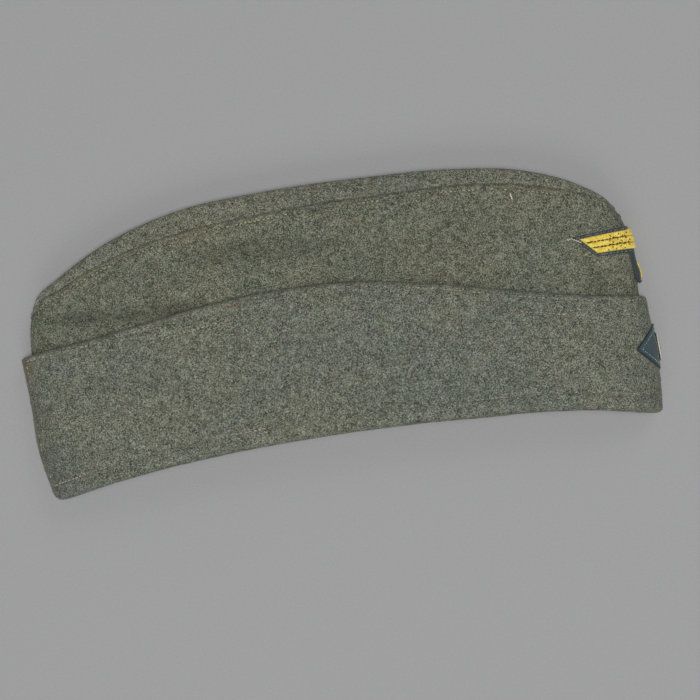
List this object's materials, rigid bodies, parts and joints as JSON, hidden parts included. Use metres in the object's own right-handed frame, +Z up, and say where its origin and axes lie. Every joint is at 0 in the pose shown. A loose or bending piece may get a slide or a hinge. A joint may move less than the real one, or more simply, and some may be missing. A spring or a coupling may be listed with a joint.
{
  "type": "side cap",
  "caption": "Soft wool side cap with a turned-up band, folded flat on one side, with a barred badge and a round rosette at the front.",
  "frame": {"origin": "middle of the footprint, on the surface the cap lies on", "axes": "+X to the front of the cap, +Y from the head opening to the crown, +Z up from the table, out of the cap's right side"},
  "size_m": [0.2973, 0.1306, 0.0362],
  "materials": {
    "body_wool": "heathered grey-green wool, felted nap",
    "crown_wool": "heathered grey-green wool, felted nap",
    "turn_up_wool": "heathered grey-green wool, felted nap, greyer",
    "lining_cotton": "plain woven cotton lining",
    "facing_cotton": "twill cotton facing",
    "ochre_thread": "twisted cotton thread",
    "teal_cloth": "close badge cloth",
    "yellow_thread": "machine embroidery thread",
    "cream_thread": "machine embroidery thread",
    "teal_thread": "machine embroidery thread"
  },
  "bodies": {
    "root": {"side_panel_right": "body_wool", "side_panel_left": "body_wool", "crown_strip_right": "crown_wool", "crown_strip_left": "crown_wool", "crown_centre_seam": "crown_wool", "turn_up_right": "turn_up_wool", "turn_up_left": "turn_up_wool", "turn_up_hem_right": "turn_up_wool", "turn_up_hem_left": "turn_up_wool", "turn_up_front_seam": "turn_up_wool", "turn_up_back_seam": "turn_up_wool", "lining_right": "lining_cotton", "lining_left": "lining_cotton", "lining_crown": "lining_cotton", "inner_band_right": "facing_cotton", "inner_band_left": "facing_cotton", "crown_stitching": "ochre_thread", "turn_up_edge_stitching": "ochre_thread", "turn_up_hem_stitching": "ochre_thread", "base_stitching": "ochre_thread", "back_seam_stitching": "ochre_thread", "emblem_backing": "teal_cloth", "emblem_tab": "teal_cloth", "rosette_backing": "teal_cloth", "emblem_bars_right": "yellow_thread", "emblem_bars_left": "yellow_thread", "emblem_short_bar": "yellow_thread", "rosette_disc": "cream_thread", "rosette_boss": "cream_thread", "rosette_ring": "teal_thread"}
  },
  "joints": []
}
